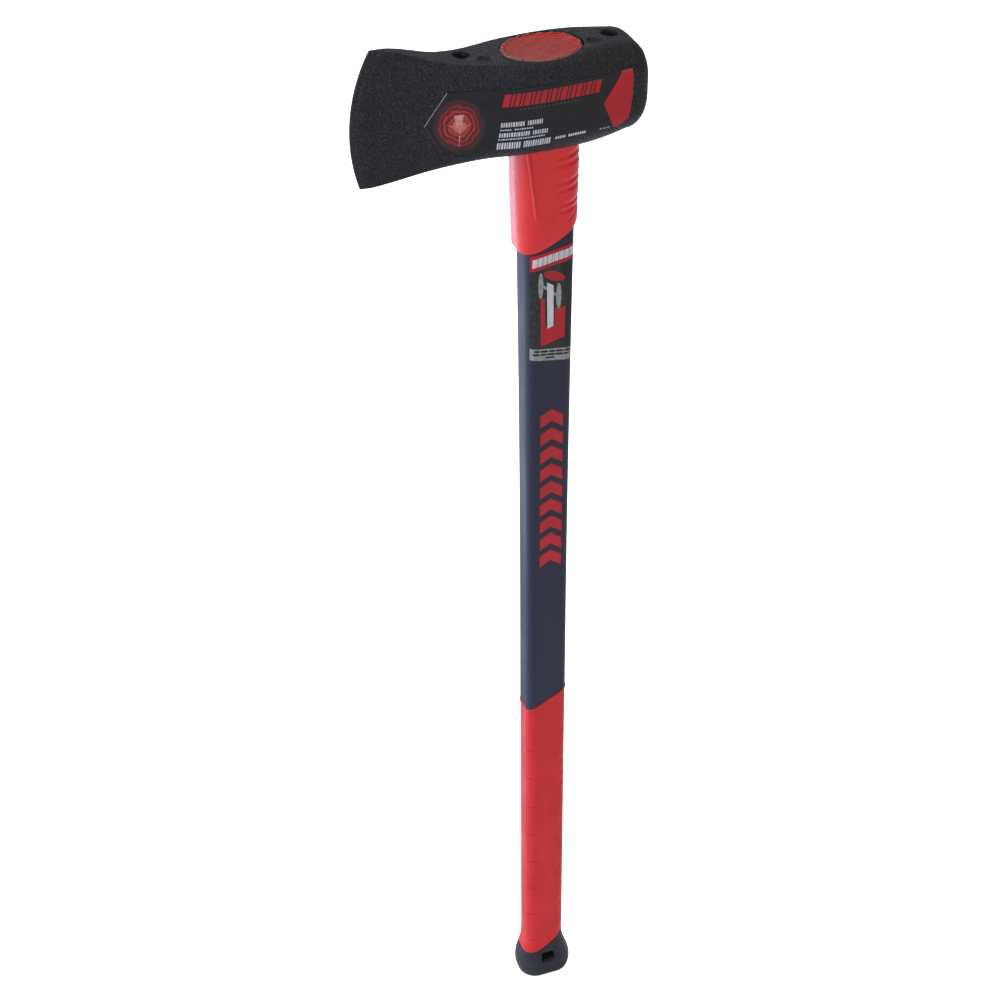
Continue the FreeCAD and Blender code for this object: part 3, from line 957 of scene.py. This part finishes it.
WAVES = (822.5, 816.5, 803.0, 797.0, 785.5, 780.5)   # heights of the grooves on the axis
WAVE_RISE, WAVE_HALF, WAVE_DEPTH, WAVE_FROM = 0.14, 1.5, 0.8, -2.0
# height above the lower border, half width, and depth as a share of WAVE_DEPTH
BORDER_GROOVE, BORDER_RIDGE = (11.0, 1.2, 0.7), (16.0, 0.9, -0.25)
RIB_TOP, RIB_FOOT, RIB_HALF = (-18.9, 830.0), (-13.0, 776.5), 1.35

collar = prism("collar_moulding", collar_outside(), corner=10, cuts=(9, 7))
tilt_border(collar, COLLAR_EDGE, 46.0, collar_size)
press_waves(collar)
rib = corner_rib()
modify(collar, "BOOLEAN", operation="UNION", object=rib, solver="EXACT")
bpy.data.objects.remove(rib)
cut(collar, prism("jacket_blank", [(*row_at(SHAFT_SECTIONS, z), 0.0) for z in (700.0, 775.0)]))
cut(collar, core_blank())
smooth(collar)

# %% [markdown]
# The sleeve in the eye and the resin poured into it are stacks of ovals that taper with the eye. The
# resin's top is a shallow dish: it crept up the wall as it set, and noise keeps it from being flat.

# %% Sleeve rim and resin
def oval_stack(name, levels):
    """A closed stack of ovals: height, then half length and half width."""
    piece = start_piece(name)
    for number, (height, long, wide) in enumerate(levels, 1):
        t = (height - HEAD_LOW) / (HEAD_TOP - HEAD_LOW)
        x = EYE_LOW_X + t * (EYE_TOP_X - EYE_LOW_X)
        oval_ring(piece, number, (x, 0, height), (long, wide), OVAL)
    return close_stack(piece, len(levels))


def tapered(height, top, low):
    _, half = eye_oval(height, top, low)
    return half


rim_top = HEAD_TOP + RIM_PROUD
sleeve_levels = [(z, *tapered(z, SLEEVE_TOP, SLEEVE_LOW))
                 for z in steps(HEAD_LOW + 2.4, rim_top - 0.5, 12)]
sleeve_levels += [(rim_top - 0.15, SLEEVE_TOP[0] - 0.15, SLEEVE_TOP[1] - 0.15),
                  (rim_top, SLEEVE_TOP[0] - 0.5, SLEEVE_TOP[1] - 0.5)]
sleeve = oval_stack("sleeve_rim", sleeve_levels)
pocket_floor = HEAD_TOP - POCKET_DEPTH
pocket = oval_stack("pocket", [(pocket_floor, *tapered(pocket_floor, POCKET_TOP, POCKET_LOW)),
                               (rim_top - 0.5, *POCKET_TOP),
                               (rim_top + 0.2, POCKET_TOP[0] + 0.6, POCKET_TOP[1] + 0.6),
                               (rim_top + 4, POCKET_TOP[0] + 1.4, POCKET_TOP[1] + 1.4)])
cut(sleeve, pocket)
cut(sleeve, core_blank())
modify(collar, "BOOLEAN", operation="UNION", object=sleeve, solver="EXACT")
bpy.data.objects.remove(sleeve)
smooth(collar)
hand_in(collar, RED_GLOSS, "red_gloss", "overstrike_collar")

fill_top = HEAD_TOP + RIM_PROUD - FILL_SUNK
resin_levels = [(z, *[h - 0.05 for h in tapered(z, POCKET_TOP, POCKET_LOW)])
                for z in steps(pocket_floor + 0.1, fill_top - 0.6, 8)]
for rise, inset in ((0.55, 0.1), (0.5, 0.35), (0.2, 1.0), (0.0, 2.0), (0.0, 5.0), (0.0, 10.0)):
    resin_levels.append((fill_top + rise, POCKET_TOP[0] - inset, POCKET_TOP[1] - inset))
resin = oval_stack("eye_resin", resin_levels)
for vert in resin.data.vertices:
    if vert.co.z > (fill_top - 1) * MM:
        low_side = ease((vert.co.x / MM + vert.co.y / MM - 6) / 30)
        vert.co.z += (noise.noise(vert.co * 90) * 0.25 - FILL_SLOPE * low_side) * MM
cut(resin, core_blank())
smooth(resin)
hand_in(resin, RED_RESIN, "red_resin", "eye_fill")

# %% [markdown]
# The adhesive that bonds sleeve and head squeezes out as a thin ragged bead round the eye. A closed
# loop of ovals makes its round section, and smooth noise pushes it in and out.

# %% Adhesive bead
def bead():
    piece = start_piece("eye_bead")
    profile = ((HEAD_TOP - 30, SLEEVE_TOP[0] - 2.2), (HEAD_TOP - 1.0, SLEEVE_TOP[0] + 0.05),
               (HEAD_TOP + 0.3, SLEEVE_TOP[0] - 0.5), (HEAD_TOP + 0.9, SLEEVE_TOP[0] - 0.8),
               (HEAD_TOP + 1.15, SLEEVE_TOP[0] - 0.2), (HEAD_TOP + 1.05, SLEEVE_TOP[0] + 0.4),
               (HEAD_TOP + 0.6, SLEEVE_TOP[0] + 1.0), (HEAD_TOP - 0.3, SLEEVE_TOP[0] + 1.5),
               (HEAD_TOP - 1.0, SLEEVE_TOP[0] + 1.6), (HEAD_TOP - 30, SLEEVE_TOP[0] - 1.0))
    narrow = SLEEVE_TOP[0] - SLEEVE_TOP[1]
    for number, (height, long) in enumerate(profile, 1):
        oval_ring(piece, number, (EYE_TOP_X, 0, height), (long, long - narrow), 2 * OVAL)
    bridge_rings(piece, len(profile))
    choose_rings(piece, 1, len(profile))
    bpy.ops.mesh.bridge_edge_loops()
    return end_piece(piece)


eye_bead = bead()
for vert in eye_bead.data.vertices:
    if vert.co.z > (HEAD_TOP - 0.6) * MM:
        place = Vector((vert.co.x, vert.co.y, 0))
        out = Vector((vert.co.x - EYE_TOP_X * MM, vert.co.y, 0)).normalized()
        vert.co += out * noise.noise(place * 300) * 0.9 * MM
        vert.co.z += noise.noise(place * 420 + Vector((7, 3, 1))) * 0.7 * MM
smooth(eye_bead, 60)
hand_in(eye_bead, EPOXY, "epoxy", "epoxy_bond")

# %% [markdown]
# Labels are thin films that follow the surface under them. A flat grid is trimmed to an outline,
# pressed onto the part along Y and given a thickness. Prints are made in the same way, a little
# thicker than the film they lie on, so their colours stay sharp from any distance.

# %% Films
STAND_OFF = 60.0       # flat shapes start this far in front of the part
FILM, INK = 0.25, 0.06


def flat_shape(name, outline, step=3.0):
    """A flat grid in front of the tool, trimmed to a convex outline of (x, z) points, in mm."""
    xs, zs = [p[0] for p in outline], [p[1] for p in outline]
    size = (max(xs) - min(xs), max(zs) - min(zs))
    place = Vector(((max(xs) + min(xs)) / 2, -STAND_OFF, (max(zs) + min(zs)) / 2)) * MM
    piece = start_piece(name)
    bpy.ops.mesh.primitive_grid_add(x_subdivisions=round(size[0] / step) + 1,
                                    y_subdivisions=round(size[1] / step) + 1, size=1,
                                    location=place, rotation=(math.pi / 2, 0, 0))
    bpy.ops.transform.resize(value=(size[0] * MM, 1, size[1] * MM), center_override=place)
    centre = Vector((sum(xs), 0, sum(zs))) / len(outline)
    for k, (x, z) in enumerate(outline):
        ahead = outline[(k + 1) % len(outline)]
        corner = Vector((x, 0, z))
        outward = Vector((ahead[1] - z, 0, x - ahead[0])).normalized()
        if outward.dot(centre - corner) > 0:
            outward = -outward
        bpy.ops.mesh.select_all(action="SELECT")
        bpy.ops.mesh.bisect(plane_co=corner * MM, plane_no=outward, clear_outer=True)
    bpy.ops.object.mode_set(mode="OBJECT")
    return piece


def press(piece, part, thick):
    """Presses a flat shape onto a part along Y, drops what hangs past its side, and thickens it."""
    modify(piece, "SHRINKWRAP", target=part, wrap_method="PROJECT", use_project_y=True,
           use_positive_direction=True, use_negative_direction=False)
    bpy.ops.object.mode_set(mode="EDIT")
    bpy.ops.mesh.select_mode(type="VERT")
    bpy.ops.mesh.select_all(action="DESELECT")
    mesh = fetch(piece)
    for vert in mesh.verts:
        vert.select = vert.co.y < (1 - STAND_OFF) * MM
    bmesh.update_edit_mesh(piece.data)
    bpy.ops.mesh.delete(type="VERT")
    bpy.ops.object.mode_set(mode="OBJECT")
    modify(piece, "SOLIDIFY", thickness=thick * MM, offset=1.0)
    smooth(piece, 40)
    return piece


def lay(name, outlines, part, thick, material, *nodes, slot="label_dark", step=3.0):
    """Flat shapes of several outlines as one print or film on a part."""
    piece = join([flat_shape(name, outline, step) for outline in outlines])
    press(piece, part, thick)
    hand_in(piece, material, slot, *nodes)
    return piece


def oval(x, z, long, wide, turn=0.0, count=24):
    """Outline of an ellipse."""
    points = []
    for k in range(count):
        u, v = long * math.cos(math.tau * k / count), wide * math.sin(math.tau * k / count)
        points.append((x + u * math.cos(turn) - v * math.sin(turn),
                       z + u * math.sin(turn) + v * math.cos(turn)))
    return points


def word(widths, bottom, top, gap, start=0.0):
    """Bars of given widths side by side: (left, right, bottom, top)."""
    made, left = [], start
    for width in widths:
        made.append((left, left + width, bottom, top))
        left += width + gap
    return made


def leaning(rows, origin, tilt, lean):
    """Outlines of bars, leaned over, tilted and moved to an origin."""
    outlines = []
    for left, right, bottom, top in rows:
        outline = []
        for u, v in ((left, bottom), (right, bottom), (right, top), (left, top)):
            u += lean * v
            outline.append((origin[0] + u * math.cos(tilt) - v * math.sin(tilt),
                            origin[1] + u * math.sin(tilt) + v * math.cos(tilt)))
        outlines.append(outline)
    return outlines


HEAD_LABEL = [(-90.0, 28.5), (-79.5, 8.0), (40.0, 16.5), (47.5, 23.0), (51.0, 38.0), (51.0, 57.5),
              (-74.6, 52.0)]
SHAFT_LABEL = [(-15.8, 660.0), (15.6, 655.0), (15.6, 752.0), (-15.8, 746.5)]
lay("cheek_film", [[(x, HEAD_LOW + z) for x, z in HEAD_LABEL]], head, FILM, LABEL_DARK, "head_label")
lay("shaft_film", [SHAFT_LABEL], jacket, FILM, INK_OLIVE, "shaft_label", step=2.0)

# %% [markdown]
# The cheek prints are generic: slanted bars stand where a title would be, rows of narrow bars where
# small print would be, and thin lines trim the label's front corner.

# %% Cheek prints
TEXT_TILT = math.radians(3.2)
PRINT = FILM + INK
title = word((4.2, 1.6, 2.8, 1.5, 3.6, 1.6, 2.6, 4.0, 1.5, 3.0, 1.6, 3.8, 1.6, 2.6, 3.4, 1.5, 3.0, 1.6,
              3.6), 0.0, 9.0, 0.95)
lay("cheek_title", leaning(title, (-39.8, 870.0), TEXT_TILT, 0.28), head, PRINT, INK_RED)
rule = word((1.1,) * 16, -2.9, -2.0, 1.6, 12.0)
lay("cheek_rule", leaning(rule, (-39.8, 870.0), TEXT_TILT, 0.28), head, PRINT, INK_DIM)
BAR_WIDTHS = (1.0, 0.7, 1.2)


def small_row(length, space, bottom, top, start):
    """A row of narrow bars with one blank at a share of its length, as two words would have."""
    made, left = [], start
    while left < start + length:
        width = BAR_WIDTHS[len(made) % 3]
        made.append((left, left + width, bottom, top))
        left += width + 0.6
        if left - start < space * length <= left - start + width + 0.6:
            left += 1.6
    return made


small_print = (small_row(27.6, 0.62, 15.9, 19.1, 1.2) + small_row(22.0, 0.4, 13.3, 14.2, 1.0)
               + small_row(32.0, 0.68, 8.6, 11.6, 0.7) + small_row(30.5, 0.3, 6.5, 7.4, 0.5)
               + small_row(35.0, 0.48, 0.0, 4.6, 0.0) + small_row(21.5, 0.4, 2.4, 4.2, 39.0))
lay("cheek_small_print", leaning(small_print, (-43.5, 839.4), TEXT_TILT, 0.16), head, PRINT,
    INK_WHITE)
lay("cheek_corner", [[(51.0, 886.2), (43.2, 886.0), (29.9, 864.5), (37.4, 846.2), (40.4, 845.4),
                      (48.4, 850.8), (51.0, 866.9)]], head, PRINT, INK_RED)
lay("cheek_line", leaning([(0.0, 28.0, 0.0, 0.45)], (-89.6, 857.6), math.radians(56.8), 0.0), head,
    PRINT, INK_GREY)
lay("cheek_line_low", leaning([(0.0, 22.0, 0.0, 0.4)], (-89.6, 857.4), math.radians(-62.0), 0.0),
    head, PRINT, INK_DIM)
lay("cheek_mark", leaning(word((1.8, 2.4, 2.0), 0.0, 0.9, 0.5), (27.4, 845.8), TEXT_TILT, 0.2), head,
    PRINT, INK_GREY)

# %% [markdown]
# The emblem is the glowing end of a log. Its glow is painted by distance from its middle: a pale
# heart, red growth rings, then a fade into the dark label. A wedge and three splits are separate
# light prints on it.

# %% Emblem
EMBLEM = (-67.0, 857.5)
EMBLEM_HALF = (17.5, 20.0)


def emblem_glow():
    made = bpy.data.materials.new("emblem_glow")
    made.use_nodes = True
    tree = made.node_tree
    surface = tree.nodes["Principled BSDF"]
    place = on_object(tree)
    centred = add(tree, "ShaderNodeMapping", {"vector_type": "TEXTURE"}, Vector=place,
                  Location=(EMBLEM[0] * MM, 0, EMBLEM[1] * MM),
                  Scale=(EMBLEM_HALF[0] * MM, 1000.0, EMBLEM_HALF[1] * MM))
    warp = add(tree, "ShaderNodeTexNoise", Vector=place, Scale=130.0, Detail=3.0)
    reach = add(tree, "ShaderNodeVectorMath", {"operation": "LENGTH"}, _0=centred.outputs[0])
    distance = maths(tree, "ADD", reach.outputs["Value"],
                     maths(tree, "MULTIPLY", maths(tree, "SUBTRACT", warp.outputs[0], 0.5), 0.35))
    rings = maths(tree, "SINE", maths(tree, "MULTIPLY", distance, 38.0))
    red = blend(tree, span(tree, rings, -0.4, 0.9), shade(112, 22, 28), shade(196, 52, 46))
    hot = blend(tree, span(tree, distance, 0.0, 0.42, 1.0, 0.0), red, shade(238, 138, 118))
    faded = blend(tree, span(tree, distance, 0.45, 0.98), hot, shade(32, 31, 35))
    tree.links.new(faded, surface.inputs["Base Color"])
    surface.inputs["Roughness"].default_value = 0.42
    fine = use(tree, GRAIN, Scale=1800.0, Pits=0.0)
    bump = add(tree, "ShaderNodeBump", Distance=0.00003, Strength=1.0, Height=fine.outputs["Height"])
    tree.links.new(bump.outputs[0], surface.inputs["Normal"])
    return made


lay("emblem", [oval(*EMBLEM, *EMBLEM_HALF, count=36)], head, PRINT, emblem_glow())
lay("emblem_split", [[(-70.6, 865.0), (-63.8, 865.6), (-66.9, 851.0)],
                     [(-67.4, 850.0), (-66.4, 850.0), (-67.6, 841.5)],
                     [(-76.0, 858.6), (-71.5, 857.2), (-71.4, 856.4)],
                     [(-63.0, 857.0), (-58.2, 859.4), (-63.2, 856.2)]], head, PRINT + INK,
    INK_PINK, step=2.0)

# %% [markdown]
# The shaft's label has a red band with pale bars at its top and a grey strip with dark bars at its
# foot. Both are thin prints on the film, with the bars one ink thickness above them.

# %% Shaft prints
lay("shaft_band", [[(-15.8, 747.0), (15.8, 752.6), (15.8, 740.4), (-15.8, 734.4)]], jacket, PRINT,
    INK_RED, step=2.0)
band_words = word((3.6, 3.4, 3.0, 3.0, 1.4, 2.8, 3.6, 3.2, 3.6), 0.0, 6.6, 0.5)
lay("shaft_band_words", leaning(band_words, (-14.4, 737.6), math.radians(10.5), 0.22), jacket,
    PRINT + INK, INK_WHITE, step=2.0)
lay("shaft_strip", [[(-15.8, 670.6), (15.8, 666.6), (15.8, 656.2), (-15.8, 661.0)]], jacket, PRINT,
    INK_GREY, step=2.0)
strip_words = (word((4.2, 5.6, 5.0, 6.0, 4.6), 6.0, 7.6, 0.7, 0.6)
               + word((5.0, 4.4, 6.2, 5.4, 4.6), 3.4, 5.0, 0.7, 0.4)
               + word((7.0,), 0.9, 2.3, 0.7, 10.5))
lay("shaft_strip_words", leaning(strip_words, (-15.0, 661.6), math.radians(-7.6), 0.1), jacket,
    PRINT + INK, INK_BLACK, step=2.0)

# %% [markdown]
# Between the band and the strip the label shows a simple cutaway of the joint: the rod in its
# jacket, with one plate at each side and the pin across, over two dark shapes at the label's edge.

# %% Cutaway picture
lay("picture_shade", [[(4.0, 737.0), (15.6, 738.5), (15.6, 716.0), (11.0, 722.0), (8.0, 731.0)],
                      [(11.6, 706.0), (15.6, 710.0), (15.6, 663.0), (11.6, 664.0)]], jacket,
    FILM + INK / 2, INK_BLACK, step=2.0)
lay("picture_body", [[(-8.2, 712.0), (-5.3, 712.0), (-4.6, 686.0), (-6.9, 672.0), (-8.0, 673.0)],
                     [(-6.9, 672.0), (2.4, 674.7), (2.4, 687.0), (-4.8, 688.0)],
                     [(2.9, 702.3), (10.8, 702.2), (10.4, 677.0), (2.3, 674.7)],
                     oval(2.0, 729.0, 8.6, 3.6, math.radians(-24))], jacket, PRINT, INK_RED, step=2.0)
lay("picture_steel", [oval(-8.2, 722.4, 1.9, 10.6), oval(5.6, 712.0, 2.0, 10.6),
                      [(-6.2, 723.0), (-6.2, 720.4), (4.0, 711.4), (4.0, 714.0)]], jacket,
    PRINT + INK, INK_GREY, step=2.0)
lay("picture_rod", [[(-3.5, 724.6), (1.5, 721.4), (1.7, 687.6), (-2.9, 686.2)]], jacket,
    PRINT + 2 * INK, INK_WHITE, step=2.0)

# %% [markdown]
# Lower on the shaft runs a tall red print. Here it is a column of plain chevrons, each on a darker
# one that is a little larger, so it has a dark outline.

# %% Shaft column
COLUMN_FOOT, COLUMN_STEP, COLUMNS = 469.0, 16.4, 9
COLUMN_X = (-7.6, 1.2, 10.0)   # left end, point and right end of each chevron


def chevrons(height, grow):
    """Outlines of the two arms of each chevron in the column."""
    left, point, right = COLUMN_X
    outlines = []
    for k in range(COLUMNS):
        foot = COLUMN_FOOT + k * COLUMN_STEP - grow
        for end, reach in ((left - grow, 0.0), (right + grow, -1.6)):
            outlines.append([(end, foot + reach), (point, foot + 5.0), (point, foot + 5.0 + height),
                             (end, foot + reach + height)])
    return outlines


lay("shaft_column_shade", chevrons(12.0, 0.9), jacket, 0.12, MOTIF_DEEP, "shaft_motif",
    slot="motif_red", step=2.0)
lay("shaft_column", chevrons(10.0, 0.0), jacket, 0.12 + INK, MOTIF_RED,
    slot="motif_red", step=2.0)

# %% [markdown]
# Light: a large soft panel to the left of the tool, a weaker one in front, a wide one overhead and
# one that shines down on the floor behind. Large panels give soft edges to every highlight. Floor
# and world look white to the camera, but the floor's glow lights nothing and the world lights the
# tool only weakly, so its dark paint stays dark.

# %% Floor and light
floor_reach = 6.0
WORLD_LIGHT = 0.22     # strength of the world for everything but the camera
bpy.ops.object.select_all(action="DESELECT")
bpy.ops.mesh.primitive_plane_add(size=2 * floor_reach, location=(0, 0, -0.0004))
floor = bpy.context.object
floor.name = "studio_floor"
floor_paint = bpy.data.materials.new("floor_paint")
floor_paint.use_nodes = True
floor_surface = floor_paint.node_tree.nodes["Principled BSDF"]
floor_surface.inputs["Base Color"].default_value = (0.86, 0.86, 0.86, 1.0)
floor_surface.inputs["Roughness"].default_value = 0.9
floor_surface.inputs["Emission Color"].default_value = (1.0, 1.0, 1.0, 1.0)
seen = floor_paint.node_tree.nodes.new("ShaderNodeLightPath").outputs["Is Camera Ray"]
floor_paint.node_tree.links.new(seen, floor_surface.inputs["Emission Strength"])
floor.data.materials.append(floor_paint)
floor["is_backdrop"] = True


def panel(name, place, aim, size, power, tint=(1.0, 1.0, 1.0)):
    light = bpy.data.lights.new(name, "AREA")
    light.shape = "RECTANGLE"
    light.size, light.size_y = size
    light.energy = power
    light.color = tint
    lamp = bpy.data.objects.new(name, light)
    bpy.context.collection.objects.link(lamp)
    lamp.location = place
    lamp.visible_camera = False
    lamp.rotation_euler = (Vector(aim) - Vector(place)).to_track_quat("-Z", "Y").to_euler()


panel("left_panel", (-2.2, 0.3, 1.3), (0, 0, 0.5), (1.6, 2.2), 33.0,
      (0.86, 0.92, 1.3))
panel("front_panel", (0.5, -2.6, 1.6), (0, 0, 0.5), (2.0, 1.6), 16.5)
panel("top_panel", (-0.3, 0.3, 2.8), (0, 0, 0.6), (2.4, 2.0), 12.0)
panel("floor_panel", (-0.5, 1.5, 0.95), (-0.5, 1.5, 0.0), (2.0, 1.8), 27.0,
      (0.84, 0.88, 1.12))

world = bpy.data.worlds.new("studio")
world.use_nodes = True
world.node_tree.nodes["Background"].inputs[0].default_value = (1.0, 1.0, 1.0, 1.0)
seen = world.node_tree.nodes.new("ShaderNodeLightPath").outputs["Is Camera Ray"]
strength = add(world.node_tree, "ShaderNodeMapRange", _0=seen, _1=0.0, _2=1.0,
               _3=WORLD_LIGHT, _4=1.0)
world.node_tree.links.new(strength.outputs[0], world.node_tree.nodes["Background"].inputs[1])
bpy.context.scene.world = world
bpy.context.scene.view_settings.view_transform = "Standard"

# %% [markdown]
# Last, the size of the finished model is measured.

# %% Sizes and finish
low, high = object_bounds()
